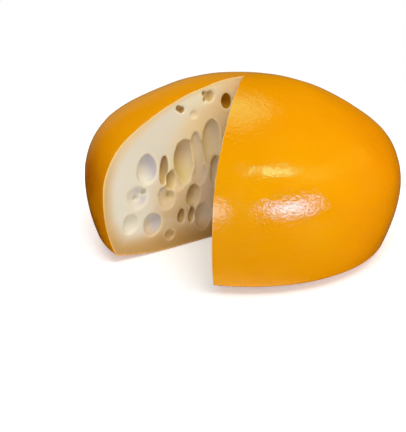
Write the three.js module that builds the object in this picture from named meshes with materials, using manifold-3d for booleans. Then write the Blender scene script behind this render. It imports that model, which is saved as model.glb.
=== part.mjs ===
// A wheel of maasdam cheese with one wedge cut out of it.
// Millimetres, +Z up, origin on the wheel's axis at the surface it rests on.
// The missing wedge opens towards -Y and a little to the left of it.
import * as THREE from "three";
import { mergeVertices } from "three/addons/utils/BufferGeometryUtils.js";
import Module from "manifold-3d";

const degrees = THREE.MathUtils.degToRad;

// The outline of the wheel from the middle of its domed top, round the rim, to the flat of its base.
// Each stretch is an arc of the given radius that turns the outline to the given slope,
// where 0 runs outwards, 90 straight down and 180 inwards under the wheel.
const OUTLINE = [
  { name: "dome", radius: 241, turnsTo: 35.5, steps: 7 },
  { name: "shoulder", radius: 71, turnsTo: 86, steps: 7 },
  { name: "side", radius: 152, turnsTo: 111, steps: 5 },
  { name: "bottom edge", radius: 7, turnsTo: 166, steps: 4 },
  { name: "underside", radius: 270, turnsTo: 180, steps: 3 },
];
const RIM_RADIUS = 170;
const SEGMENTS_ROUND = 72;

// A hand-turned wheel is not quite round and its dome leans a little.
const OVAL = { share: 0.004, at: degrees(20) };
const THREE_LOBED = { share: 0.003, at: degrees(75) };
const DOME_LEAN = { rise: 1.6, at: degrees(150) };

// The missing wedge, as compass directions of its two cut faces round the axis.
const LEFT_CUT = degrees(215.4);
const RIGHT_CUT = degrees(258.5);
const KNIFE_REACH = 320;

// The eyes that the knife opened. Each is an egg-shaped bubble, sized by its rim in the cut face:
// out from the wheel's axis, up from its base, wide, tall, lean of its top towards the rim in degrees,
// deep into the paste, undercut (above 0 the bubble widens behind its rim, below 0 it is a shallow dish),
// taper (above 0 the top is the fuller end), and tilt (degrees by which the top goes deeper than the foot).
const LEFT_EYES = [
  { out: 120, up: 94, wide: 24, tall: 32, lean: -2, deep: 9.5, undercut: -0.15, taper: -0.18, tilt: 8 },
  { out: 100.2, up: 88.3, wide: 10, tall: 31, lean: -5, deep: 10, tilt: 8 },
  { out: 74.5, up: 90, wide: 25, tall: 48, lean: 3, deep: 11, undercut: -0.2, taper: 0.26, tilt: 20 },
  { out: 90, up: 77.5, wide: 13, tall: 23, lean: -5, deep: 8, undercut: -0.1, taper: -0.3, tilt: -12 },
  { out: 97.5, up: 60, wide: 22, tall: 27, lean: 12, deep: 4.8, undercut: -0.55, taper: 0.1, tilt: -3 },
  { out: 91.5, up: 60.5, wide: 8, tall: 9, deep: 8 },
  { out: 132, up: 66, wide: 25, tall: 25, deep: 3.4, undercut: -0.5 },
  { out: 124, up: 71, wide: 6, tall: 7, deep: 8 },
  { out: 132, up: 65, wide: 7, tall: 5, deep: 8 },
  { out: 64, up: 55, wide: 17, tall: 26, lean: -12, deep: 8, undercut: -0.1, tilt: -6 },
  { out: 79, up: 35, wide: 9.5, tall: 16, lean: -9, deep: 7 },
  { out: 66, up: 32.5, wide: 7.5, tall: 17, lean: -10, deep: 7, undercut: 0.1 },
  { out: 51, up: 28, wide: 21, tall: 31, lean: -4, deep: 6, undercut: -0.6 },
  { out: 34.5, up: 75.5, wide: 15, tall: 32, lean: -5, deep: 7, undercut: -0.2, tilt: 12 },
  { out: 51, up: 80, wide: 9, tall: 14, lean: 10, deep: 2, undercut: -0.6 },
  { out: 41.5, up: 102, wide: 22, tall: 50, lean: -1, deep: 6, undercut: -0.35, taper: 0.2, tilt: 12 },
  { out: 57, up: 93.5, wide: 13, tall: 50, lean: 8, deep: 5, undercut: -0.25, taper: 0.35, tilt: 8 },
  { out: 57, up: 77, wide: 20, tall: 26, deep: 2.2, undercut: -0.85 },
  { out: 83, up: 75, wide: 22, tall: 26, deep: 3.5, undercut: -0.75 },
  { out: 44, up: 159, wide: 13, tall: 13, deep: 4.3, undercut: -0.25 },
  { out: 51, up: 162, wide: 4.5, tall: 5.5, deep: 5 },
  { out: 50, up: 156, wide: 5, tall: 5, deep: 6 },
  { out: 22, up: 150.5, wide: 12, tall: 16, lean: 10, deep: 9, undercut: 0.15, tilt: -4 },
  { out: 82, up: 151, wide: 6.5, tall: 5.5, deep: 7 },
  { out: 78.3, up: 149, wide: 7.5, tall: 7, deep: 7 },
  { out: 63.5, up: 142.5, wide: 8.5, tall: 8, deep: 2, undercut: -0.4 },
  { out: 115, up: 33, wide: 21, tall: 24, lean: -20, deep: 9 },
  { out: 141, up: 40, wide: 17, tall: 20, lean: -12, deep: 7 },
  { out: 94, up: 17, wide: 12, tall: 11, deep: 6 },
  { out: 16, up: 118, wide: 14, tall: 24, lean: -6, deep: 8 },
  { out: 30, up: 50, wide: 12, tall: 15, lean: 6, deep: 7 },
  { out: 20, up: 26, wide: 16, tall: 20, lean: -15, deep: 8 },
];
const RIGHT_EYES = [
  { out: 129, up: 44, wide: 20, tall: 22, deep: 9 },
  { out: 113, up: 62, wide: 12, tall: 16, lean: -26, deep: 10, undercut: 0.2 },
  { out: 103, up: 51, wide: 15, tall: 25, lean: -28, deep: 9 },
  { out: 103, up: 20, wide: 18, tall: 20, deep: 7 },
  { out: 83, up: 34, wide: 18, tall: 26, lean: -27, deep: 8 },
  { out: 62, up: 35, wide: 22, tall: 28, lean: -30, deep: 9, taper: 0.15 },
  { out: 72, up: 66, wide: 19, tall: 29, lean: -20, deep: 5, undercut: -0.5 },
  { out: 88, up: 91, wide: 27, tall: 34, lean: -26, deep: 6, undercut: -0.5 },
  { out: 92, up: 114, wide: 20, tall: 17, lean: -10, deep: 13, undercut: 0.2 },
  { out: 80, up: 130, wide: 14, tall: 16, lean: 9, deep: 10, undercut: 0.15 },
  { out: 61, up: 131, wide: 15, tall: 17, lean: 10, deep: 8 },
  { out: 44, up: 140, wide: 24, tall: 25, lean: -20, deep: 5, undercut: -0.5 },
  { out: 36, up: 146, wide: 6, tall: 9, lean: 60, deep: 9 },
  { out: 25, up: 145, wide: 21, tall: 25, lean: -20, deep: 9 },
  { out: 32, up: 108, wide: 20, tall: 30, lean: -7, deep: 9, taper: 0.15 },
  { out: 39, up: 71, wide: 21, tall: 42, lean: 1, deep: 13, undercut: 0.1 },
  { out: 11, up: 118, wide: 12, tall: 28, lean: -12, deep: 4, undercut: -0.3 },
  { out: 6, up: 68, wide: 28, tall: 46, lean: -5, deep: 13, undercut: 0.1 },
  { out: 38, up: 22, wide: 5, tall: 5, deep: 4 },
  { out: 116, up: 91, wide: 11, tall: 10, deep: 1.5, undercut: -0.6 },
  { out: 133, up: 72, wide: 3, tall: 24, lean: -64, deep: 6 },
  { out: 124, up: 102, wide: 3, tall: 18, lean: -53, deep: 5 },
];

// Points of the outline, (distance from the axis, height), from the middle of the base to the top.
function outlinePoints() {
  const points = [new THREE.Vector2(0, 0)];
  let slope = 0;
  for (const arc of OUTLINE) {
    const start = points.at(-1).clone();
    const end = degrees(arc.turnsTo);
    for (let i = 1; i <= arc.steps; i++) {
      const turned = slope + ((end - slope) * i) / arc.steps;
      points.push(
        new THREE.Vector2(
          start.x + arc.radius * (Math.sin(turned) - Math.sin(slope)),
          start.y + arc.radius * (Math.cos(turned) - Math.cos(slope)),
        ),
      );
    }
    slope = end;
  }
  const base = points.at(-1).y;
  points.push(new THREE.Vector2(0, base));
  return points.reverse().map((p) => new THREE.Vector2(p.x, p.y - base));
}

// Moves each point of the round wheel to where the uneven one has it.
function makeUneven(geometry, height) {
  const position = geometry.getAttribute("position");
  for (let i = 0; i < position.count; i++) {
    const x = position.getX(i);
    const y = position.getY(i);
    const z = position.getZ(i);
    const around = Math.atan2(y, x);
    const out =
      1 +
      OVAL.share * Math.cos(2 * (around - OVAL.at)) +
      THREE_LOBED.share * Math.cos(3 * (around - THREE_LOBED.at));
    const towardsRim = Math.hypot(x, y) / RIM_RADIUS;
    const lift = DOME_LEAN.rise * towardsRim * (z / height) * Math.cos(around - DOME_LEAN.at);
    position.setXYZ(i, x * out, y * out, z + lift);
  }
  return geometry;
}

function wheelGeometry() {
  const outline = outlinePoints();
  const geometry = new THREE.LatheGeometry(outline, SEGMENTS_ROUND).rotateX(Math.PI / 2);
  return makeUneven(geometry, outline.at(-1).y);
}

// A prism between the two cut faces, taller and longer than the wheel, with its edge on the axis.
function wedgeGeometry() {
  const plan = new THREE.Shape([
    new THREE.Vector2(0, 0),
    new THREE.Vector2(Math.cos(LEFT_CUT), Math.sin(LEFT_CUT)).multiplyScalar(KNIFE_REACH),
    new THREE.Vector2(Math.cos(RIGHT_CUT), Math.sin(RIGHT_CUT)).multiplyScalar(KNIFE_REACH),
  ]);
  return new THREE.ExtrudeGeometry(plan, { depth: KNIFE_REACH, bevelEnabled: false }).translate(
    0,
    0,
    -KNIFE_REACH / 4,
  );
}

// The bubble of one eye. In its own frame x runs outwards, z up and y into the paste.
function eyeGeometry(eye) {
  const { out, up, wide, tall, lean = 0, deep, undercut = 0, taper = 0, tilt = 0 } = eye;
  const span = wide + tall;
  const bubble = new THREE.SphereGeometry(1, 8 + 2 * Math.floor(span / 16), span > 24 ? 8 : 6);
  const halfDeep = deep / (1 + undercut);
  const rimShare = Math.sqrt(1 - undercut * undercut);
  const halfWide = wide / 2 / rimShare;
  // A tilted bubble is longer, so that its rim keeps its height.
  const tipped = degrees(tilt);
  const upright = 2 * rimShare / tall;
  const halfTall = Math.cos(tipped) / Math.sqrt(upright ** 2 - (Math.sin(tipped) / halfDeep) ** 2);
  bubble.scale(halfWide, halfDeep, halfTall);
  const position = bubble.getAttribute("position");
  for (let i = 0; i < position.count; i++) {
    const fuller = 1 + (taper * position.getZ(i)) / halfTall;
    position.setX(i, position.getX(i) * fuller);
  }
  return bubble
    .rotateX(-tipped)
    .rotateY(degrees(lean))
    .translate(out, halfDeep * undercut, up);
}

// Stands an eye in a cut face: turned is the face's direction, and side is 1 where the paste
// lies clockwise of the face seen from above, and -1 where it lies the other way.
function placeInCut(geometry, turned, side) {
  const outwards = new THREE.Vector3(Math.cos(turned), Math.sin(turned), 0);
  const intoPaste = new THREE.Vector3(Math.sin(turned), -Math.cos(turned), 0).multiplyScalar(side);
  const up = new THREE.Vector3(0, 0, 1);
  return geometry.applyMatrix4(new THREE.Matrix4().makeBasis(outwards, intoPaste, up));
}

const wasm = await Module();
wasm.setup();

function solid(geometry, mirrored = false) {
  const plain = geometry.index ? geometry : mergeVertices(geometry);
  for (const name of ["normal", "uv"]) plain.deleteAttribute(name);
  const merged = mergeVertices(plain, 1e-3);
  const corners = new Uint32Array(merged.index.array);
  if (mirrored) corners.reverse();
  return new wasm.Manifold(
    new wasm.Mesh({
      numProp: 3,
      vertProperties: new Float32Array(merged.getAttribute("position").array),
      triVerts: corners,
    }),
  );
}

function geometryOf(manifold) {
  const { vertProperties, triVerts } = manifold.getMesh();
  const geometry = new THREE.BufferGeometry();
  geometry.setAttribute("position", new THREE.BufferAttribute(new Float32Array(vertProperties), 3));
  geometry.setIndex(new THREE.BufferAttribute(new Uint32Array(triVerts), 1));
  geometry.computeVertexNormals();
  return geometry;
}

function cheeseGeometry() {
  let cheese = solid(wheelGeometry()).subtract(solid(wedgeGeometry()));
  for (const eye of LEFT_EYES) {
    cheese = cheese.subtract(solid(placeInCut(eyeGeometry(eye), LEFT_CUT, 1), true));
  }
  for (const eye of RIGHT_EYES) {
    cheese = cheese.subtract(solid(placeInCut(eyeGeometry(eye), RIGHT_CUT, -1)));
  }
  return geometryOf(cheese);
}

const cheese = new THREE.Mesh(
  cheeseGeometry(),
  new THREE.MeshStandardMaterial({ color: 0xf0a010, roughness: 0.4, metalness: 0 }),
);
cheese.name = "cheese_wheel";

const part = new THREE.Group();
part.add(cheese);

export default part;
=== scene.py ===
"""A wheel of maasdam cheese with one wedge cut out of it.

The wheel is spun from its outline twice. The outer one becomes the thin glossy coating. The inner
one becomes the paste, less the knife's wedge with the bubbles of the opened eyes fused to it.
"""

import math
from collections import namedtuple

import bpy
import numpy as np
from mathutils import Matrix, Vector
from mathutils.bvhtree import BVHTree


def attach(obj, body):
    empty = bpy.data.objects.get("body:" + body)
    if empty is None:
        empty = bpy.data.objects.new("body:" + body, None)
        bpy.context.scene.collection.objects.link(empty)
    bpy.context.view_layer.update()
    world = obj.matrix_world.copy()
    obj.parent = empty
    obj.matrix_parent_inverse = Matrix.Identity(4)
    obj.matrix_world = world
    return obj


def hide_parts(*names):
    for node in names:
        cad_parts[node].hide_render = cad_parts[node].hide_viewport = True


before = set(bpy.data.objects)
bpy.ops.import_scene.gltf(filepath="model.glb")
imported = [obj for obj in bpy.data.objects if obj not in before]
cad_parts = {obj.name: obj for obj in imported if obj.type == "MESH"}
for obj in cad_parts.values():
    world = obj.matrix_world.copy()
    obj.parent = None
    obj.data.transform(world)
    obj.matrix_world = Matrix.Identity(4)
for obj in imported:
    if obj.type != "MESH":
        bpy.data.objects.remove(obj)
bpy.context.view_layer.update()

MM = 0.001

# The outline of the wheel, from the middle of its domed top, round the rim, to the flat of its
# base. Each stretch is an arc of the given radius in mm that turns the outline to the given slope,
# where 0 runs outwards, 90 straight down and 180 inwards under the wheel.
Arc = namedtuple("Arc", "radius turns_to steps")
DOME = Arc(241, 35.5, 43)
SHOULDER = Arc(71, 86, 18)
SIDE = Arc(152, 111, 19)
BOTTOM_EDGE = Arc(7, 166, 6)
UNDERSIDE = Arc(270, 180, 14)
BASE_STEPS = 3
RIM_RADIUS = 170
# How many faces go round the wheel in the coating, and in the paste.
COATING_ROUND, PASTE_ROUND = 260, 120
# Points nearer than this many mm are one.
SAME_POINT = 0.01

# A hand-turned wheel is not quite round and its dome leans a little: shares of its radius, and mm,
# each with the direction round the axis from +X where it is greatest.
OVAL_SHARE, OVAL_AT = 0.004, math.radians(20)
LOBED_SHARE, LOBED_AT = 0.003, math.radians(75)
LEAN_RISE, LEAN_AT = 1.6, math.radians(150)

# How large and how high the lumps of a surface are, in mm. The wheel's begin at BASE_FLAT above the
# table and reach their height another BASE_FADE up.
Lumps = namedtuple("Lumps", "size height")
WHEEL_LUMPS = [Lumps(70, 2.0), Lumps(22, 0.5)]
BUBBLE_LUMPS = Lumps(16, 2.2)
KNIFE_LUMPS = Lumps(45, 0.8)
COATING_EDGE_LUMPS = Lumps(9, 0.7)
BASE_FLAT, BASE_FADE = 1, 25

# The two cut faces, as directions round the axis from +X, each with the side where the paste lies:
# 1 where that is clockwise of the face, and -1 the other way.
Cut = namedtuple("Cut", "at side")
LEFT_CUT = Cut(math.radians(215.4), 1)
RIGHT_CUT = Cut(math.radians(258.5), -1)
# How far out the wedge between them reaches, how far below the base it starts, and how tall it
# is, in mm.
KNIFE_REACH = 196
KNIFE_BELOW = 8
KNIFE_HEIGHT = 196

# How thick the coating is, and how far it ends from the cut faces, in mm.
COATING_THICK = 0.6
COATING_DRAWN_BACK = 0.4
# How fine the body that is cut from each piece is, in mm, and how often its edges are softened.
Fineness = namedtuple("Fineness", "voxel softenings")
PASTE_CUT = Fineness(1.05, 4)
COATING_CUT = Fineness(3.0, 2)
# Edges that turn by more than this many degrees look sharp.
COATING_SHARP, PASTE_SHARP = 40, 55

# The eyes that the knife opened, in mm and degrees. Each is an egg-shaped bubble, sized by its rim
# in the cut face: out from the axis, up from the base, wide, tall, lean of its top towards the rim,
# deep into the paste, undercut (above 0 it widens behind its rim, below 0 it is a shallow dish),
# taper (above 0 the top is the fuller end), and tilt (the top goes deeper than the foot).
# Brown is how much painted brown shade its walls take: 0 none, 1 mostly, and more all over.
EYE_VALUES = "out up wide tall deep lean undercut taper tilt brown"
Eye = namedtuple("Eye", EYE_VALUES, defaults=(0, 0, 0, 0, 0))
LEFT_EYES = [
    Eye(120, 94, 24, 32, 9.5, lean=-2, undercut=-0.15, taper=-0.18, tilt=8),
    Eye(100.2, 88.3, 10, 31, 10, lean=-5, tilt=8, brown=0.75),
    Eye(74.5, 90, 25, 48, 11, lean=3, undercut=-0.2, taper=0.26, tilt=20, brown=0.4),
    Eye(90, 77.5, 13, 23, 8, lean=-5, undercut=-0.1, taper=-0.3, tilt=-12, brown=0.65),
    Eye(97.5, 60, 22, 27, 4.8, lean=12, undercut=-0.55, taper=0.1, tilt=-3),
    Eye(91.5, 60.5, 8, 9, 8, brown=0.45),
    Eye(132, 66, 25, 25, 3.4, undercut=-0.5),
    Eye(124, 71, 6, 7, 8),
    Eye(132, 65, 7, 5, 8),
    Eye(64, 55, 17, 26, 8, lean=-12, undercut=-0.1, tilt=-6, brown=0.6),
    Eye(79, 35, 9.5, 16, 7, lean=-9, brown=0.85),
    Eye(66, 32.5, 7.5, 17, 7, lean=-10, undercut=0.1, brown=0.85),
    Eye(51, 28, 21, 31, 6, lean=-4, undercut=-0.6, brown=0.1),
    Eye(34.5, 75.5, 15, 32, 7, lean=-5, undercut=-0.2, tilt=12, brown=0.3),
    Eye(51, 80, 9, 14, 2, lean=10, undercut=-0.6),
    Eye(41.5, 102, 22, 50, 6, lean=-1, undercut=-0.35, taper=0.2, tilt=12, brown=0.2),
    Eye(57, 93.5, 13, 50, 5, lean=8, undercut=-0.25, taper=0.35, tilt=8, brown=0.15),
    Eye(57, 77, 20, 26, 2.2, undercut=-0.85),
    Eye(83, 75, 22, 26, 3.5, undercut=-0.75),
    Eye(44, 159, 13, 13, 4.3, undercut=-0.25, brown=0.7),
    Eye(51, 162, 4.5, 5.5, 5, brown=0.8),
    Eye(50, 156, 5, 5, 6, brown=0.8),
    Eye(22, 150.5, 12, 16, 9, lean=10, undercut=0.15, tilt=-4, brown=1.3),
    Eye(82, 151, 6.5, 5.5, 7, brown=0.65),
    Eye(78.3, 149, 7.5, 7, 7, brown=1.0),
    Eye(63.5, 142.5, 8.5, 8, 2, undercut=-0.4),
    Eye(115, 33, 21, 24, 9, lean=-20),
    Eye(141, 40, 17, 20, 7, lean=-12),
    Eye(94, 17, 12, 11, 6, brown=0.3),
    Eye(16, 118, 14, 24, 8, lean=-6, brown=0.4),
    Eye(30, 50, 12, 15, 7, lean=6, brown=0.5),
    Eye(20, 26, 16, 20, 8, lean=-15),
]
RIGHT_EYES = [
    Eye(129, 44, 20, 22, 9, brown=0.2),
    Eye(113, 62, 12, 16, 10, lean=-26, undercut=0.2, brown=0.5),
    Eye(103, 51, 15, 25, 9, lean=-28, brown=0.2),
    Eye(103, 20, 18, 20, 7),
    Eye(83, 34, 18, 26, 8, lean=-27),
    Eye(62, 35, 22, 28, 9, lean=-30, taper=0.15),
    Eye(72, 66, 19, 29, 5, lean=-20, undercut=-0.5),
    Eye(88, 91, 27, 34, 6, lean=-26, undercut=-0.5),
    Eye(92, 114, 20, 17, 13, lean=-10, undercut=0.2, brown=0.8),
    Eye(80, 130, 14, 16, 10, lean=9, undercut=0.15, brown=0.5),
    Eye(61, 131, 15, 17, 8, lean=10, brown=0.5),
    Eye(44, 140, 24, 25, 5, lean=-20, undercut=-0.5),
    Eye(36, 146, 6, 9, 9, lean=60, brown=0.7),
    Eye(25, 145, 21, 25, 9, lean=-20),
    Eye(32, 108, 20, 30, 9, lean=-7, taper=0.15),
    Eye(39, 71, 21, 42, 13, lean=1, undercut=0.1, brown=0.3),
    Eye(11, 118, 12, 28, 4, lean=-12, undercut=-0.3),
    Eye(6, 68, 28, 46, 13, lean=-5, undercut=0.1, brown=0.3),
    Eye(38, 22, 5, 5, 4),
    Eye(116, 91, 11, 10, 1.5, undercut=-0.6),
    Eye(133, 72, 3, 24, 6, lean=-64),
    Eye(124, 102, 3, 18, 5, lean=-53),
]
# A bubble wider or taller than this many mm is large: it has more segments and rings of faces, and
# gets painted grey shade on the side towards the axis.
LARGE_EYE = 24
LARGE_FACES = {"segments": 40, "ring_count": 24}
SMALL_FACES = {"segments": 24, "ring_count": 14}

# A bubble as its walls' colours need it: the way back into its unit sphere, half its size along the
# three axes in metres, how much painted brown shade it gives, and the side of its cut.
Bubble = namedtuple("Bubble", "into_sphere halves brown side")
# A wall takes the painted shade and yellow of the bubbles whose surface is nearer than about this
# many mm.
WALL_REACH = 2.5
# A point's nearness to the bubbles starts from this, so that one far from them all has none of them.
NEARLY_NONE = 1e-6
# How strong each of these is in the middle of a wall, and how much more at its top and on its outer
# side.
WallColouring = namedtuple("WallColouring", "middle upper outer")
BROWNER_SHADE = WallColouring(-0.35, 0.2, 0.5)
YELLOWER = WallColouring(0.4, -0.45, 0.3)
GREYER_SHADE = WallColouring(0.35, 0.5, -0.9)
# How much an eye's brown adds to the painted brown shade of its walls, lends to their yellow, and
# takes from their painted grey shade.
BROWN_SHADE_ADDED, YELLOW_LENT, GREY_SHADE_TAKEN = 1.6, 2.5, 1.7
# A lip this sharp or sharper gets the full painted highlight.
LIP_SHARP = 0.12

# Colours as they look on screen, from 0 to 255.
WHITE = (255, 255, 255)
COATING_SIDE = (243, 163, 2)
# Painted shade: the top left is duller, to tone down the sheen that falls there.
COATING_TOP_LEFT_SHADED = (236, 154, 2)
COATING_TOP_RIGHT = (247, 159, 2)
# Painted shade: the flanks deeper orange, darker as the sides turn away from the light.
COATING_FLANKS_SHADED = (246, 149, 2)
# Painted shade: low on the left, the side away from the lamps, deeper and darker.
COATING_LOW_LEFT_SHADED = (206, 110, 2)
COATING_BLOTCHED = (238, 152, 2)
# Tan near the axis: partly the paste's own colour, partly painted shade deep in the notch.
PASTE_AXIS = (246, 216, 168)
# Painted light: paler inwards, lighting the cut faces towards the axis more brightly.
PASTE_INNER_LIT = (248, 234, 202)
PASTE_OUTER = (235, 226, 207)
# Painted shade: the heart darker low down, at the foot of the notch.
HEART_LOW_SHADED = (226, 197, 152)
HEART_HIGH = (246, 220, 174)
HEART_AXIS = (238, 214, 186)
# The rind darker low down: partly its own tan, partly painted shade.
RIND_LOW_SHADED = (206, 162, 98)
RIND_SIDE = (220, 183, 124)
RIND_TOP = (240, 206, 156)
SKIN_LOW = (232, 180, 96)
# Painted highlight: the skin's line brighter higher up, as a lit edge.
SKIN_HIGH_LIT = (255, 218, 136)
# Painted shade inside the eyes, deeper in.
EYE_DEEP_SHADE = (238, 226, 184)
# Painted shade: the grey of large eyes' walls in shade.
EYE_GREY_SHADE = (206, 199, 203)
EYE_YELLOW = (230, 210, 126)
# Painted shade: brown on eye walls in shade, and darker still on the brownest.
EYE_BROWN_SHADE = (190, 147, 78)
EYE_DARKEST_SHADE = (184, 126, 8)
# Painted highlight along the eyes' lips.
EYE_LIP_HIGHLIGHT = (255, 240, 206)

# The stretches over which the coating changes, in mm: up from the base, to the right of the axis,
# behind it, and to either side of FLANK_SHADE_MIDDLE. Those of the top left, the flanks and the low
# left place painted shade.
COATING_TOP_UP = (110, 160)
TOP_LEFT_SHADE_RIGHTWARDS = (0, 70)
FLANK_SHADE_MIDDLE, FLANK_SHADE_SIDEWAYS = -20, (70, 165)
LOW_LEFT_SHADE_UP = (90, 150)
LOW_LEFT_SHADE_RIGHTWARDS = (-165, -120)
LOW_LEFT_SHADE_BACKWARDS = (-10, 100)

# The stretches over which the paste changes, in mm: out from the axis, or up from the base.
PASTE_AXIS_OUT = (15, 55)
PASTE_INNER_LIGHT_OUT = (45, 105)
HEART_SHADE_UP = (35, 80)
HEART_AXIS_OUT, HEART_AXIS_UP = (45, 75), (75, 110)
# The heart ends where the way out, HEART_LEANS of the height and HEART_WAVERS of the blotches add
# up to HEART_OUT. It also keeps HEART_OPENS of the way out, and HEART_IN more, clear of the
# surface, but not near the base.
HEART_LEANS, HEART_WAVERS, HEART_OUT = 0.33, 40, (125, 165)
HEART_OPENS, HEART_IN, HEART_BASE_UP = 0.25, (-2, 16), (20, 60)
# The rind's colour ends over RIND_IN, in from the surface. Each mm counts for the share that grows
# from the base, and for more at the crown, so the rind is thickest low down. Low down the rind is
# darker, partly its own tan and partly painted shade.
# The skin is its very edge: a yellow line, partly its own colour and partly a painted highlight,
# brighter higher up.
RIND_LOW_SHADE_UP, RIND_TOP_UP = (10, 50), (70, 130)
RIND_IN = (1, 16)
RIND_BASE_UP, RIND_BASE_COUNTS = (0, 60), (0.25, 1)
RIND_CROWN_UP, RIND_CROWN_COUNTS = (120, 170), (0, 1.4)
SKIN_LIT_UP, SKIN_IN = (40, 90), (1.1, 2.6)
# The eyes' walls start behind the cut over WALL_BEHIND, and painted shade darkens them over
# DEEP_SHADE_BEHIND by DEEP_SHADE_SHARE, which DEEP_SHADE_OUTER lessens towards the rim. Their painted
# grey shade grows over GREY_SHADE_OUT and their yellow over YELLOW_UP, from the first share to the
# second. The brownest of them, over DARKEST_SHADE_FROM, get darker painted shade still. A lip's
# painted highlight takes the first share of LIP_HIGHLIGHT, or where its wall is brown, the second.
WALL_BEHIND = (0.6, 2.2)
DEEP_SHADE_BEHIND, DEEP_SHADE_SHARE = (1, 9), (0, 0.4)
DEEP_SHADE_OUT, DEEP_SHADE_OUTER = (100, 130), (1, 0.2)
GREY_SHADE_OUT, GREY_SHADE_SHARE = (98, 112), (0.35, 0.95)
YELLOW_UP, YELLOW_SHARE = (50, 75), (0.3, 1)
DARKEST_SHADE_FROM = (0.8, 1)
LIP_HIGHLIGHT = (0.6, 0.3)

# The patterns of the finishes: how many lie in a metre, across and up, how detailed they are, and
# how high they stand, in mm, or 0 where they are colour alone.
Pattern = namedtuple("Pattern", "across up detail high")
COATING_BLOTCHES = Pattern(14, 22, 3, 0)
COATING_SMEARS = Pattern(40, 90, 2, 0.08)
COATING_DIMPLES = Pattern(200, 320, 2, 0.3)
COATING_GRAIN = Pattern(420, 560, 2, 0.24)
PASTE_BLOTCHES = Pattern(30, 30, 3, 0.5)
PASTE_GRAIN = Pattern(500, 500, 2, 0.05)
# Most of a pattern's values lie in PATTERN_SPAN. The blotches of the coating show by at most
# BLOTCHES_SHOW.
PATTERN_SPAN = (0.35, 0.65)
BLOTCHES_SHOW = 0.5

# How rough the finishes are, from 0 to 1, how glossy the paste is, and how much light it lets in,
# of which colours and how deep, in mm.
COATING_ROUGH = (0.05, 0.12)
CUT_ROUGH, WALL_ROUGH = 0.55, 0.48
PASTE_GLOSS = 0.18
PASTE_LETS_IN, PASTE_LETS_IN_COLOURS, PASTE_LETS_IN_DEEP = 0.35, (1.0, 0.6, 0.3), 5

# The camera stands where the photograph was taken from: metres, degrees, and mm for the lens.
CAMERA_PLACE = (-0.0418, -0.7293, 0.3148)
CAMERA_DOWN = 22.29
CAMERA_ROLL = 0.522
CAMERA_LENS = 57.87
SENSOR = 36

# The floor, in metres but for its drop in mm, and how much light of its own the camera sees on it.
FLOOR_BELOW = 0.3
FLOOR_FADES, FLOOR_ENDS = 0.45, 1.1
FLOOR_EDGES = 96
FLOOR_GREY, FLOOR_ROUGH = 0.9, 0.9
FLOOR_GLOWS = 0.36

# The lamps: direction from the cheese in degrees, distance and size in metres, watts, and tint.
# They are turned to a point on the axis, LAMPS_AIM above the table.
Lamp = namedtuple("Lamp", "name around up away size power tint", defaults=((1, 1, 1),))
LAMPS_AIM = 0.09
SOFT_SIZE = (0.9, 0.9)
SOFT_LIGHTS = [
    Lamp("key", -64, 63, 1.6, SOFT_SIZE, 14.8),
    Lamp("front", -74, 12, 1.6, SOFT_SIZE, 4.7),
    Lamp("fill", -114, 26, 1.6, SOFT_SIZE, 1.2),
    Lamp("side", 0, 12, 1.6, SOFT_SIZE, 5.5),
    Lamp("back", 128, 40, 1.6, SOFT_SIZE, 13),
]
TUBE = Lamp("tube", -61, 57, 1.5, (0.54, 0.07), 4.8, (0.14, 1, 0.45))
WINDOWS = [
    Lamp("window", -60.5, 7, 2.0, (1.15, 0.55), 27, (0.15, 0.58, 1)),
    Lamp("window pane", -63, 7, 1.9, (0.4, 0.36), 5.6, (0.1, 0.7, 1)),
    Lamp("far window", -110.5, 3, 2.0, (0.58, 0.85), 11, (0.45, 0.8, 1)),
]
# How far before the middle of the cheese, in metres, the light of the windows fades and ends.
WINDOWS_FADE, WINDOWS_END = 0.12, 0.06
# How strongly the surroundings light the cheese.
AMBIENT = 0.27
# Glows of the room that show only in the gloss: direction, how many degrees from it each is full
# and ends, and its colour.
Glow = namedtuple("Glow", "around up full ends tint")
GLOWS = [
    Glow(97, 55, 0, 19, (0.3, 2.5, 1)),
    Glow(105, 1, 4, 24, (0.25, 0.2, 0.1)),
    Glow(72, 4, 5, 20, (0.35, 0.15, 0)),
    Glow(78, -20, 8, 24, (0.08, 0.1, 0.08)),
    Glow(-28, 44, 2, 16, (0.3, 1.2, 0.3)),
    Glow(-4, 40, 3, 18, (0.3, 0.6, 0.05)),
    Glow(22, 34, 3, 17, (0.2, 0.4, 0.05)),
    Glow(-90, -85, 12, 32, (2.2, 1.3, 0.5)),
]


# Modelling by hand: selecting, and finishing with modifiers


def pick(*objects):
    """Selects these objects alone, the first of them active."""
    bpy.ops.object.select_all(action="DESELECT")
    for obj in objects:
        obj.select_set(True)
    bpy.context.view_layer.objects.active = objects[0]
    return objects[0]


def modify(obj, kind, **settings):
    """Gives obj one modifier and applies it."""
    pick(obj)
    modifier = obj.modifiers.new(kind.title(), kind)
    for name, value in settings.items():
        setattr(modifier, name, value)
    bpy.ops.object.modifier_apply(modifier=modifier.name)
    return obj


def duplicate(obj, name):
    pick(obj)
    bpy.ops.object.duplicate()
    copy = bpy.context.object
    copy.name = name
    return copy


def join(objects, name):
    joined = pick(*objects)
    bpy.ops.object.join()
    joined.name = name
    return joined


def remove(*objects):
    for obj in objects:
        bpy.data.objects.remove(obj)


def start_outline(name, point):
    """A new mesh of one point, in edit mode, for extrude to draw on from."""
    bpy.ops.object.select_all(action="DESELECT")
    bpy.ops.mesh.primitive_plane_add(size=MM, location=point)
    obj = bpy.context.object
    obj.name = name
    bpy.ops.object.mode_set(mode="EDIT")
    bpy.ops.mesh.merge(type="CENTER")
    return obj


def extrude(step):
    """Draws what is selected on by step, in metres."""
    bpy.ops.mesh.extrude_region_move(TRANSFORM_OT_translate={"value": step})


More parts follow.
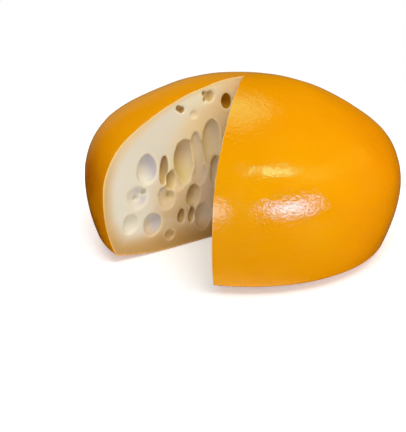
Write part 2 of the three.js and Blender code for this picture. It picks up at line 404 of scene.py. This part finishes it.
def finish_solid():
    """Turns the edited mesh's faces outwards, leaves edit mode, and puts its place in its points."""
    bpy.ops.mesh.select_all(action="SELECT")
    bpy.ops.mesh.normals_make_consistent(inside=False)
    bpy.ops.object.mode_set(mode="OBJECT")
    bpy.ops.object.transform_apply()


def unsettle(obj, lumps, group=""):
    """Moves the surface in and out by up to half the lumps' height.

    Where a vertex group is named, each point moves as far as its weight there lets it.
    """
    texture = bpy.data.textures.new(obj.name + "_unevenness", "CLOUDS")
    texture.noise_scale = lumps.size * MM
    texture.noise_depth = 1
    return modify(
        obj,
        "DISPLACE",
        texture=texture,
        texture_coords="LOCAL",
        strength=lumps.height * MM,
        mid_level=0.5,
        vertex_group=group,
    )


def fuse(obj, fineness):
    """Makes of obj one closed body with softened edges."""
    modify(obj, "REMESH", mode="VOXEL", voxel_size=fineness.voxel * MM)
    modify(obj, "SMOOTH", factor=0.5, iterations=fineness.softenings)


def subtract(obj, tool):
    modify(obj, "BOOLEAN", operation="DIFFERENCE", solver="MANIFOLD", object=tool)


def smooth(obj, sharp):
    pick(obj)
    bpy.ops.object.shade_smooth_by_angle(angle=math.radians(sharp))


# The wheel


def outline(inset):
    """The wheel's outline in the plane of +X and +Z, from the top to the middle of the base."""
    points = [Vector((0, 0, -inset))]
    slope = 0
    for arc in (DOME, SHOULDER, SIDE, BOTTOM_EDGE, UNDERSIDE):
        start, end = points[-1], math.radians(arc.turns_to)
        radius = arc.radius - inset
        for step in range(1, arc.steps + 1):
            turned = slope + (end - slope) * step / arc.steps
            across = math.sin(turned) - math.sin(slope)
            down = math.cos(turned) - math.cos(slope)
            points.append(start + Vector((radius * across, 0, radius * down)))
        slope = end
    base = points[-1]
    for step in range(1, BASE_STEPS + 1):
        points.append(Vector((base.x * (1 - step / BASE_STEPS), 0, base.z)))
    lift = Vector((0, 0, inset - base.z))
    return [(point + lift) * MM for point in points]


def make_uneven(obj, height):
    """Moves each point of the round wheel to where the hand-turned one has it, and adds lumps."""
    group = "above the base"
    above = obj.vertex_groups.new(name=group)
    for vertex in obj.data.vertices:
        x, y, z = vertex.co
        around = math.atan2(y, x)
        oval = OVAL_SHARE * math.cos(2 * (around - OVAL_AT))
        lobed = LOBED_SHARE * math.cos(3 * (around - LOBED_AT))
        towards_rim = math.hypot(x, y) / (RIM_RADIUS * MM)
        lift = LEAN_RISE * MM * towards_rim * (z / height) * math.cos(around - LEAN_AT)
        out = 1 + oval + lobed
        vertex.co = (x * out, y * out, z + lift)
        share = (vertex.co.z / MM - BASE_FLAT) / BASE_FADE
        above.add([vertex.index], min(1, max(0, share)), "REPLACE")
    for lumps in WHEEL_LUMPS:
        unsettle(obj, lumps, group)
    obj.vertex_groups.clear()


def wheel(name, inset, around):
    """A whole wheel, closed, whose surface lies inset mm inside the real one."""
    points = outline(inset)
    obj = start_outline(name, points[0])
    for here, there in zip(points, points[1:]):
        extrude(there - here)
    bpy.ops.mesh.select_all(action="SELECT")
    bpy.ops.mesh.spin(steps=around, angle=2 * math.pi, center=(0, 0, 0), axis=(0, 0, 1))
    bpy.ops.mesh.select_all(action="SELECT")
    bpy.ops.mesh.remove_doubles(threshold=SAME_POINT * MM)
    finish_solid()
    make_uneven(obj, points[0].z)
    return obj


# The knife's wedge and the eyes


def towards(around):
    """The level direction out from the axis, this far round it from +X."""
    return Vector((math.cos(around), math.sin(around), 0))


def into_paste(cut):
    """The level direction from a cut face straight into the paste."""
    return Vector((math.sin(cut.at), -math.cos(cut.at), 0)) * cut.side


def knife_wedge(name, wider):
    """The wedge between the cut faces, wider by that many mm at each face."""
    half = (RIGHT_CUT.at - LEFT_CUT.at) / 2
    middle = (RIGHT_CUT.at + LEFT_CUT.at) / 2
    tip = towards(middle) * (-wider / math.sin(half))
    tip.z = -KNIFE_BELOW
    left = towards(LEFT_CUT.at) * KNIFE_REACH
    right = towards(RIGHT_CUT.at) * KNIFE_REACH
    obj = start_outline(name, tip * MM)
    extrude(left * MM)
    extrude((right - left) * MM)
    bpy.ops.mesh.select_all(action="SELECT")
    bpy.ops.mesh.edge_face_add()
    extrude((0, 0, KNIFE_HEIGHT * MM))
    finish_solid()
    return obj


def bubble(eye, cut, walls):
    """One eye's bubble in a cut face, noted in walls for their colours."""
    half_deep = eye.deep / (1 + eye.undercut)
    rim_share = math.sqrt(1 - eye.undercut**2)
    tipped = math.radians(eye.tilt)
    upright = 2 * rim_share / eye.tall
    half_tall = math.cos(tipped) / math.sqrt(upright**2 - (math.sin(tipped) / half_deep) ** 2)
    half_wide = eye.wide / 2 / rim_share
    outwards, inwards, upwards = towards(cut.at), into_paste(cut), Vector((0, 0, 1))
    place = outwards * eye.out + inwards * half_deep * eye.undercut + upwards * eye.up
    axes = Matrix((-outwards * cut.side, inwards, upwards)).transposed()
    lean = Matrix.Rotation(math.radians(-eye.lean * cut.side), 3, "Y")
    turned = axes @ lean @ Matrix.Rotation(-tipped, 3, "X")
    halves = Vector((half_wide, half_deep, half_tall)) * MM
    from_sphere = Matrix.LocRotScale(place * MM, turned, halves)
    into_sphere = np.array(from_sphere.inverted())
    walls.append(Bubble(into_sphere, np.array(halves), eye.brown, cut.side))
    faces = LARGE_FACES if max(eye.wide, eye.tall) > LARGE_EYE else SMALL_FACES
    bpy.ops.mesh.primitive_uv_sphere_add(
        radius=1,
        location=place * MM,
        rotation=turned.to_euler(),
        scale=halves,
        **faces,
    )
    obj = bpy.context.object
    if eye.taper:
        modify(
            obj,
            "SIMPLE_DEFORM",
            deform_method="TAPER",
            deform_axis="Z",
            factor=2 * eye.taper,
            lock_y=True,
        )
    return obj


def paste_cut(walls):
    """What the knife and the bubbles leave empty in the paste, with soft lips."""
    eyes = [bubble(eye, LEFT_CUT, walls) for eye in LEFT_EYES]
    eyes += [bubble(eye, RIGHT_CUT, walls) for eye in RIGHT_EYES]
    pick(*eyes)
    bpy.ops.object.transform_apply()
    bubbles = join(eyes, "bubbles")
    unsettle(bubbles, BUBBLE_LUMPS)
    empty = join([knife_wedge("knife wedge", 0), bubbles], "cut out")
    fuse(empty, PASTE_CUT)
    return unsettle(empty, KNIFE_LUMPS)


def coating_cut():
    """The knife's wedge again, as wide as the coating has drawn back from the cut."""
    wedge = knife_wedge("coating cut", COATING_DRAWN_BACK)
    fuse(wedge, COATING_CUT)
    unsettle(wedge, KNIFE_LUMPS)
    return unsettle(wedge, COATING_EDGE_LUMPS)


def keep(obj, name, values):
    """Keeps one number for each point of a mesh, for its material to read."""
    obj.data.attributes.new(name, "FLOAT", "POINT").data.foreach_set("value", values)


def measure_rind(paste, whole):
    """Keeps how far each point of the paste lies inside the whole wheel's surface, in mm."""
    surface = BVHTree.FromObject(whole, bpy.context.evaluated_depsgraph_get())
    keep(paste, "rind", [surface.find_nearest(v.co)[3] / MM for v in paste.data.vertices])


def measure_wall_colouring(paste, walls):
    """Keeps how much painted brown shade, yellow and painted grey shade each point of the paste has,
    from 0 to 1.

    An eye's painted brown shade is strongest at its top and on the side towards the rim, where its
    walls lie in shade, and it yellows at its foot. A large one has painted grey shade on the side
    towards the axis.
    """
    points = np.array([(*v.co, 1) for v in paste.data.vertices])
    near = np.full(len(points), NEARLY_NONE)
    brown, yellow, grey = np.zeros((3, len(points)))
    for wall in walls:
        place = (points @ wall.into_sphere.T)[:, :3]
        away = np.linalg.norm(place, axis=1)
        off_wall = (away - 1) * away / np.linalg.norm(place / wall.halves, axis=1)
        nearness = np.exp(-((off_wall / (WALL_REACH * MM)) ** 2))
        near += nearness
        browner_shade, yellower, greyer_shade = (
            colouring.middle + colouring.upper * place[:, 2] - colouring.outer * wall.side * place[:, 0]
            for colouring in (BROWNER_SHADE, YELLOWER, GREYER_SHADE)
        )
        if wall.brown:
            browner_shade += BROWN_SHADE_ADDED * wall.brown
            yellower *= min(1, YELLOW_LENT * wall.brown)
            brown += nearness * np.clip(browner_shade, 0, math.sqrt(wall.brown))
            yellow += nearness * np.clip(yellower, 0, 1)
        if wall.halves[2] > LARGE_EYE / 2 * MM:
            greyer_shade *= 1 - GREY_SHADE_TAKEN * wall.brown
            grey += nearness * np.clip(greyer_shade, 0, 1)
    for name, values in (("brown", brown), ("yellow", yellow), ("grey", grey)):
        keep(paste, name, values / near)


def measure_lips(paste):
    """Keeps how sharply the paste turns outwards at each point, from 0 to 1, as at an eye's rim, for
    the painted highlight on the lips.
    """
    mesh = paste.data
    points, normals = np.empty((2, len(mesh.vertices), 3))
    mesh.vertices.foreach_get("co", points.reshape(-1))
    mesh.vertices.foreach_get("normal", normals.reshape(-1))
    ends = np.array([edge.vertices[:] for edge in mesh.edges])
    both = np.concatenate((ends, ends[:, ::-1]))
    count = np.bincount(both[:, 0], minlength=len(points))

    def mean_of_neighbours(values):
        return np.bincount(both[:, 0], values[both[:, 1]], len(points)) / count

    around = np.stack([mean_of_neighbours(points[:, axis]) for axis in range(3)], axis=1)
    rise = np.einsum("ij,ij->i", points - around, normals) / (PASTE_CUT.voxel * MM)
    rise = (rise + mean_of_neighbours(rise)) / 2
    keep(paste, "lip", np.clip(rise / LIP_SHARP, 0, 1))


def cheese():
    """The two pieces of the cheese: its coating and its paste."""
    whole = wheel("whole wheel", 0, COATING_ROUND)
    coating = duplicate(whole, "cheese_coating")
    modify(coating, "SOLIDIFY", thickness=COATING_THICK * MM, offset=-1, use_even_offset=True)
    edge = coating_cut()
    subtract(coating, edge)
    smooth(coating, COATING_SHARP)
    paste = wheel("cheese_paste", COATING_THICK, PASTE_ROUND)
    walls = []
    empty = paste_cut(walls)
    subtract(paste, empty)
    measure_rind(paste, whole)
    measure_wall_colouring(paste, walls)
    measure_lips(paste)
    smooth(paste, PASTE_SHARP)
    remove(whole, edge, empty)
    return coating, paste


# Shader nodes


def connect(tree, socket, value):
    """Links the socket to another node's output, or sets it to a plain value."""
    if isinstance(value, bpy.types.NodeSocket):
        tree.links.new(value, socket)
    else:
        socket.default_value = value


def new_node(tree, kind, *values, **named):
    """A node with its inputs connected, those in values in their order and the others by name."""
    node = tree.nodes.new(kind)
    for socket, value in zip(node.inputs, values):
        connect(tree, socket, value)
    for name, value in named.items():
        connect(tree, node.inputs[name.replace("_", " ")], value)
    return node


def math_node(tree, operation, *values):
    node = new_node(tree, "ShaderNodeMath", *values)
    node.operation = operation
    return node.outputs["Value"]


def multiply(tree, first, *others):
    for other in others:
        first = math_node(tree, "MULTIPLY", first, other)
    return first


def vector_node(tree, operation, *values):
    node = new_node(tree, "ShaderNodeVectorMath", *values)
    node.operation = operation
    gives_number = operation in ("LENGTH", "DOT_PRODUCT")
    return node.outputs["Value" if gives_number else "Vector"]


def ramp(tree, value, stretch, ends=(0, 1)):
    """The first of ends before the stretch, the second after it, and a smooth change between."""
    node = tree.nodes.new("ShaderNodeMapRange")
    node.interpolation_type = "SMOOTHSTEP"
    connect(tree, node.inputs["Value"], value)
    node.inputs["From Min"].default_value, node.inputs["From Max"].default_value = stretch
    node.inputs["To Min"].default_value, node.inputs["To Max"].default_value = ends
    return node.outputs["Result"]


def fade(tree, value, stretch):
    """1 before the stretch and 0 after it."""
    return ramp(tree, value, stretch, (1, 0))


def linear(on_screen):
    """A colour given as it looks on screen, as the shaders take it, by the screens' usual curve."""
    shares = [x / 255 for x in on_screen]
    return (*(x / 12.92 if x <= 0.04045 else ((x + 0.055) / 1.055) ** 2.4 for x in shares), 1)


def mix_colour(tree, share, one, other):
    """Mixes a share of other into one. Each is a node's output, or a colour as it looks on screen."""
    node = tree.nodes.new("ShaderNodeMix")
    node.data_type = "RGBA"
    connect(tree, node.inputs[0], share)
    for socket, value in ((node.inputs[6], one), (node.inputs[7], other)):
        connect(tree, socket, linear(value) if isinstance(value, tuple) else value)
    return node.outputs[2]


def attribute(tree, name):
    node = tree.nodes.new("ShaderNodeAttribute")
    node.attribute_name = name
    return node.outputs["Fac"]


def object_place(tree):
    """Where each point of a piece is, in metres."""
    return tree.nodes.new("ShaderNodeTexCoord").outputs["Object"]


def place_in_mm(tree):
    """Where each point of a piece is, in mm."""
    return vector_node(tree, "MULTIPLY", object_place(tree), (1 / MM, 1 / MM, 1 / MM))


def split(tree, place):
    """The X, Y and Z of a place."""
    return new_node(tree, "ShaderNodeSeparateXYZ", place).outputs


def patches_group():
    """Noise with its own lengths across and up, from 0 to 1: blotches, smears, dimples or grain."""
    tree = bpy.data.node_groups.new("patches", "ShaderNodeTree")
    for name in ("Across per Metre", "Up per Metre", "Detail"):
        tree.interface.new_socket(name, in_out="INPUT", socket_type="NodeSocketFloat")
    tree.interface.new_socket("Share", in_out="OUTPUT", socket_type="NodeSocketFloat")
    across, up, detail = tree.nodes.new("NodeGroupInput").outputs[:3]
    scale = new_node(tree, "ShaderNodeCombineXYZ", across, across, up).outputs["Vector"]
    stretched = vector_node(tree, "MULTIPLY", object_place(tree), scale)
    noise = new_node(tree, "ShaderNodeTexNoise", Vector=stretched, Scale=1, Detail=detail)
    new_node(tree, "NodeGroupOutput", noise.outputs["Fac"])
    return tree


def patches(tree, pattern):
    """Places the patches group in a material."""
    group = tree.nodes.new("ShaderNodeGroup")
    group.node_tree = PATCHES
    for socket, value in zip(group.inputs, (pattern.across, pattern.up, pattern.detail)):
        socket.default_value = value
    return group.outputs["Share"]


def relief(tree, shader, *layers):
    """Raises a surface by several layers, each the values of a pattern and the pattern itself."""
    normal = None
    for height, pattern in layers:
        high = pattern.high * MM
        node = new_node(tree, "ShaderNodeBump", Height=height, Distance=high, Strength=1)
        if normal is not None:
            tree.links.new(normal, node.inputs["Normal"])
        normal = node.outputs["Normal"]
    tree.links.new(normal, shader.inputs["Normal"])


def new_material(name):
    material = bpy.data.materials.new(name)
    material.use_nodes = True
    tree = material.node_tree
    return material, tree, tree.nodes["Principled BSDF"]


def paint(obj, material):
    obj.data.materials.clear()
    obj.data.materials.append(material)


# The coating


def coating_colour(tree, blotches):
    """Yellow-orange, with painted shade: deeper on the flanks and low on the left, and duller at the
    top left, where the sheen falls.
    """
    place = split(tree, place_in_mm(tree))
    # Painted shade: duller towards the top left, where the sheen falls.
    rightwards = ramp(tree, place["X"], TOP_LEFT_SHADE_RIGHTWARDS)
    top = mix_colour(tree, rightwards, COATING_TOP_LEFT_SHADED, COATING_TOP_RIGHT)
    base = mix_colour(tree, ramp(tree, place["Z"], COATING_TOP_UP), COATING_SIDE, top)
    # Painted shade: deeper orange out on the flanks.
    sideways = math_node(tree, "SUBTRACT", place["X"], FLANK_SHADE_MIDDLE)
    sideways = math_node(tree, "ABSOLUTE", sideways)
    base = mix_colour(tree, ramp(tree, sideways, FLANK_SHADE_SIDEWAYS), base, COATING_FLANKS_SHADED)
    # Painted shade: darker low on the left, fading towards the back.
    low_left_shade = multiply(
        tree,
        fade(tree, place["X"], LOW_LEFT_SHADE_RIGHTWARDS),
        fade(tree, place["Z"], LOW_LEFT_SHADE_UP),
        fade(tree, place["Y"], LOW_LEFT_SHADE_BACKWARDS),
    )
    base = mix_colour(tree, low_left_shade, base, COATING_LOW_LEFT_SHADED)
    blotched = ramp(tree, blotches, PATTERN_SPAN, (0, BLOTCHES_SHOW))
    return mix_colour(tree, blotched, base, COATING_BLOTCHED)


def coating_material():
    """Glossy cheese coating, brushed on while the wheel turned."""
    material, tree, shader = new_material("cheese coating")
    smears = patches(tree, COATING_SMEARS)
    base = coating_colour(tree, patches(tree, COATING_BLOTCHES))
    tree.links.new(base, shader.inputs["Base Color"])
    rough = ramp(tree, smears, PATTERN_SPAN, COATING_ROUGH)
    tree.links.new(rough, shader.inputs["Roughness"])
    relief(
        tree,
        shader,
        (smears, COATING_SMEARS),
        (patches(tree, COATING_DIMPLES), COATING_DIMPLES),
        (patches(tree, COATING_GRAIN), COATING_GRAIN),
    )
    return material


# The paste


def heart_share(tree, out, height, from_surface, blotches):
    """How far a point belongs to the yellower heart, from 0 to 1. The heart is partly the paste's own
    colour and partly painted shade within the notch.

    Here and below, out is how far it lies from the axis, height how far above the base, and
    from_surface how far inside the wheel, all in mm.
    """
    leaning = math_node(tree, "MULTIPLY_ADD", height, HEART_LEANS, out)
    wavering = math_node(tree, "MULTIPLY_ADD", blotches, HEART_WAVERS, leaning)
    behind_rind = math_node(tree, "MULTIPLY_ADD", out, -HEART_OPENS, from_surface)
    inside = math_node(
        tree,
        "MAXIMUM",
        ramp(tree, behind_rind, HEART_IN),
        fade(tree, height, HEART_BASE_UP),
    )
    return multiply(tree, fade(tree, wavering, HEART_OUT), inside)


def heart_colour(tree, out, height):
    # Painted shade: the heart darker low down; it is paler near the axis.
    colour = mix_colour(tree, ramp(tree, height, HEART_SHADE_UP), HEART_LOW_SHADED, HEART_HIGH)
    near_axis = multiply(
        tree, fade(tree, out, HEART_AXIS_OUT), fade(tree, height, HEART_AXIS_UP)
    )
    return mix_colour(tree, near_axis, colour, HEART_AXIS)


def add_rind(tree, base, height, from_surface):
    """The tan rind under the coating, darker low down partly as painted shade, and the skin at its
    very edge, partly a painted highlight.
    """
    rind = mix_colour(tree, ramp(tree, height, RIND_LOW_SHADE_UP), RIND_LOW_SHADED, RIND_SIDE)
    rind = mix_colour(tree, ramp(tree, height, RIND_TOP_UP), rind, RIND_TOP)
    counts = math_node(
        tree,
        "ADD",
        ramp(tree, height, RIND_BASE_UP, RIND_BASE_COUNTS),
        ramp(tree, height, RIND_CROWN_UP, RIND_CROWN_COUNTS),
    )
    into_rind = multiply(tree, from_surface, counts)
    base = mix_colour(tree, ramp(tree, into_rind, RIND_IN), rind, base)
    # The skin's yellow line, partly a painted highlight that brightens higher up.
    skin = mix_colour(tree, ramp(tree, height, SKIN_LIT_UP), SKIN_LOW, SKIN_HIGH_LIT)
    return mix_colour(tree, ramp(tree, from_surface, SKIN_IN), skin, base)


def add_walls(tree, base, out, height, behind_cut, in_eye):
    """The eyes' walls: painted shade deeper in, painted grey and brown shade, their yellow, and
    painted highlights on their lips.

    Behind_cut is how far a point lies behind the cut face, in mm, and in_eye is how far it belongs
    to a wall, from 0 to 1.
    """
    # Painted shade: darker deeper into the eyes, less so towards the rim.
    deep = multiply(
        tree,
        ramp(tree, behind_cut, DEEP_SHADE_BEHIND, DEEP_SHADE_SHARE),
        ramp(tree, out, DEEP_SHADE_OUT, DEEP_SHADE_OUTER),
    )
    base = mix_colour(tree, deep, base, EYE_DEEP_SHADE)
    # Painted grey shade on the walls of large eyes, in the pale outer paste.
    grey_shade_share = ramp(tree, out, GREY_SHADE_OUT, GREY_SHADE_SHARE)
    grey_shaded = multiply(tree, attribute(tree, "grey"), in_eye, grey_shade_share)
    base = mix_colour(tree, grey_shaded, base, EYE_GREY_SHADE)
    yellow_share = ramp(tree, height, YELLOW_UP, YELLOW_SHARE)
    yellowed = multiply(tree, attribute(tree, "yellow"), yellow_share, in_eye)
    base = mix_colour(tree, yellowed, base, EYE_YELLOW)
    # Painted brown shade, darker still on the brownest walls.
    brown = attribute(tree, "brown")
    brown_shaded = multiply(tree, brown, in_eye)
    base = mix_colour(tree, brown_shaded, base, EYE_BROWN_SHADE)
    base = mix_colour(tree, ramp(tree, brown_shaded, DARKEST_SHADE_FROM), base, EYE_DARKEST_SHADE)
    # Painted highlight along the lips, weaker where the walls are brown.
    lip_highlight_share = ramp(tree, brown, (0, 1), LIP_HIGHLIGHT)
    lip_highlighted = multiply(tree, attribute(tree, "lip"), lip_highlight_share)
    return mix_colour(tree, lip_highlighted, base, EYE_LIP_HIGHLIGHT)


def paste_material():
    """Smooth ivory paste: paler inwards as painted light, yellower at its heart and tan under the
    coating, both partly painted shade, and shiny inside the eyes, with painted shade and highlights
    there.
    """
    material, tree, shader = new_material("cheese paste")
    place = place_in_mm(tree)
    height = split(tree, place)["Z"]
    out = vector_node(tree, "LENGTH", vector_node(tree, "MULTIPLY", place, (1, 1, 0)))
    depths = [
        vector_node(tree, "DOT_PRODUCT", place, into_paste(cut))
        for cut in (LEFT_CUT, RIGHT_CUT)
    ]
    behind_cut = math_node(tree, "MAXIMUM", *depths)
    in_eye = ramp(tree, behind_cut, WALL_BEHIND)
    from_surface = attribute(tree, "rind")
    blotches = patches(tree, PASTE_BLOTCHES)

    # Painted light: the paste paler inwards, then tan near the axis, partly painted shade.
    base = mix_colour(tree, ramp(tree, out, PASTE_INNER_LIGHT_OUT), PASTE_INNER_LIT, PASTE_OUTER)
    base = mix_colour(tree, fade(tree, out, PASTE_AXIS_OUT), base, PASTE_AXIS)
    heart = heart_share(tree, out, height, from_surface, blotches)
    base = mix_colour(tree, heart, base, heart_colour(tree, out, height))
    base = add_rind(tree, base, height, from_surface)
    base = add_walls(tree, base, out, height, behind_cut, in_eye)
    tree.links.new(base, shader.inputs["Base Color"])

    rough = ramp(tree, in_eye, (0, 1), (CUT_ROUGH, WALL_ROUGH))
    tree.links.new(rough, shader.inputs["Roughness"])
    grain = patches(tree, PASTE_GRAIN)
    relief(tree, shader, (grain, PASTE_GRAIN), (blotches, PASTE_BLOTCHES))
    shader.inputs["Specular IOR Level"].default_value = PASTE_GLOSS
    shader.inputs["Subsurface Weight"].default_value = PASTE_LETS_IN
    shader.inputs["Subsurface Radius"].default_value = PASTE_LETS_IN_COLOURS
    shader.inputs["Subsurface Scale"].default_value = PASTE_LETS_IN_DEEP * MM
    return material


# The studio: floor, lights and camera


def studio_floor():
    """A pale floor that fades into the white round it."""
    bpy.ops.object.select_all(action="DESELECT")
    bpy.ops.mesh.primitive_circle_add(
        vertices=FLOOR_EDGES,
        radius=FLOOR_ENDS,
        fill_type="NGON",
        location=(0, 0, -FLOOR_BELOW * MM),
    )
    floor = bpy.context.object
    floor.name = "floor"
    bpy.ops.object.transform_apply()
    material, tree, shader = new_material("pale floor")
    shader.inputs["Base Color"].default_value = (FLOOR_GREY, FLOOR_GREY, FLOOR_GREY, 1)
    shader.inputs["Roughness"].default_value = FLOOR_ROUGH
    shader.inputs["Emission Color"].default_value = linear(WHITE)
    out = vector_node(tree, "LENGTH", object_place(tree))
    shown = fade(tree, out, (FLOOR_FADES, FLOOR_ENDS))
    tree.links.new(shown, shader.inputs["Alpha"])
    seen = tree.nodes.new("ShaderNodeLightPath").outputs["Is Camera Ray"]
    glow = multiply(tree, seen, FLOOR_GLOWS)
    tree.links.new(glow, shader.inputs["Emission Strength"])
    paint(floor, material)
    floor.visible_glossy = False


def pointing(around, up):
    """The direction from the cheese that is these degrees round the axis from +X, and up."""
    a, e = math.radians(around), math.radians(up)
    return Vector((math.cos(a) * math.cos(e), math.sin(a) * math.cos(e), math.sin(e)))


def place_lamp(lamp):
    """A rectangular lamp turned to the cheese, which the camera doesn't see."""
    light = bpy.data.lights.new(lamp.name, "AREA")
    light.shape = "RECTANGLE"
    light.size, light.size_y = lamp.size
    light.energy = lamp.power
    light.color = lamp.tint
    obj = bpy.data.objects.new(lamp.name, light)
    bpy.context.scene.collection.objects.link(obj)
    direction = pointing(lamp.around, lamp.up)
    obj.location = Vector((0, 0, LAMPS_AIM)) + direction * lamp.away
    obj.rotation_euler = direction.to_track_quat("Z", "Y").to_euler()
    obj.visible_camera = False
    return obj


def soft_light(lamp):
    """A lamp that lights surfaces evenly and doesn't show in their gloss."""
    place_lamp(lamp).visible_glossy = False


def glint(lamp):
    """A lamp that shows only as a highlight in the gloss."""
    obj = place_lamp(lamp)
    obj.visible_diffuse = False
    return obj


def window(lamp):
    """A glint that reaches only the side of the cheese turned to it, as if flagged off the rest."""
    light = glint(lamp).data
    light.use_nodes = True
    tree = light.node_tree
    surface = tree.nodes.new("ShaderNodeNewGeometry").outputs
    length = tree.nodes.new("ShaderNodeLightPath").outputs["Ray Length"]
    facing = vector_node(tree, "DOT_PRODUCT", surface["Incoming"], surface["Normal"])
    depth = math_node(tree, "ABSOLUTE", multiply(tree, length, facing))
    reach = fade(tree, depth, (lamp.away - WINDOWS_FADE, lamp.away - WINDOWS_END))
    tree.links.new(reach, tree.nodes["Emission"].inputs["Strength"])


def surroundings():
    """White behind the cheese, soft ambient light on it, and the room's glows in its gloss."""
    world = bpy.data.worlds.new("studio")
    bpy.context.scene.world = world
    world.use_nodes = True
    tree = world.node_tree
    rays = tree.nodes.new("ShaderNodeLightPath").outputs
    direction = tree.nodes.new("ShaderNodeTexCoord").outputs["Generated"]
    glows = Vector((0, 0, 0))
    for glow in GLOWS:
        nearness = vector_node(tree, "DOT_PRODUCT", direction, pointing(glow.around, glow.up))
        stretch = [math.cos(math.radians(angle)) for angle in (glow.ends, glow.full)]
        share = ramp(tree, nearness, stretch)
        glows = vector_node(tree, "MULTIPLY_ADD", share, glow.tint, glows)
    seen = math_node(tree, "MAXIMUM", rays["Is Camera Ray"], rays["Is Glossy Ray"])
    strength = math_node(tree, "MULTIPLY_ADD", rays["Is Diffuse Ray"], AMBIENT, seen)
    shade = mix_colour(tree, rays["Is Glossy Ray"], WHITE, glows)
    backdrop = tree.nodes["Background"]
    tree.links.new(shade, backdrop.inputs["Color"])
    tree.links.new(strength, backdrop.inputs["Strength"])


def lights():
    surroundings()
    for lamp in SOFT_LIGHTS:
        soft_light(lamp)
    glint(TUBE)
    for lamp in WINDOWS:
        window(lamp)


def camera():
    data = bpy.data.cameras.new("camera")
    data.lens = CAMERA_LENS
    data.sensor_width = SENSOR
    data.sensor_fit = "AUTO"
    obj = bpy.data.objects.new("camera", data)
    bpy.context.scene.collection.objects.link(obj)
    tipped = Matrix.Rotation(math.radians(90 - CAMERA_DOWN), 4, "X")
    rolled = Matrix.Rotation(math.radians(CAMERA_ROLL), 4, "Z")
    obj.matrix_world = Matrix.Translation(CAMERA_PLACE) @ tipped @ rolled
    bpy.context.scene.camera = obj


PATCHES = patches_group()

camera()
lights()
studio_floor()
bpy.context.scene.view_settings.view_transform = "Standard"

coating, paste = cheese()
paint(coating, coating_material())
paint(paste, paste_material())
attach(coating, "root")
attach(paste, "root")
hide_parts("cheese_wheel")
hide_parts("cheese_wheel")
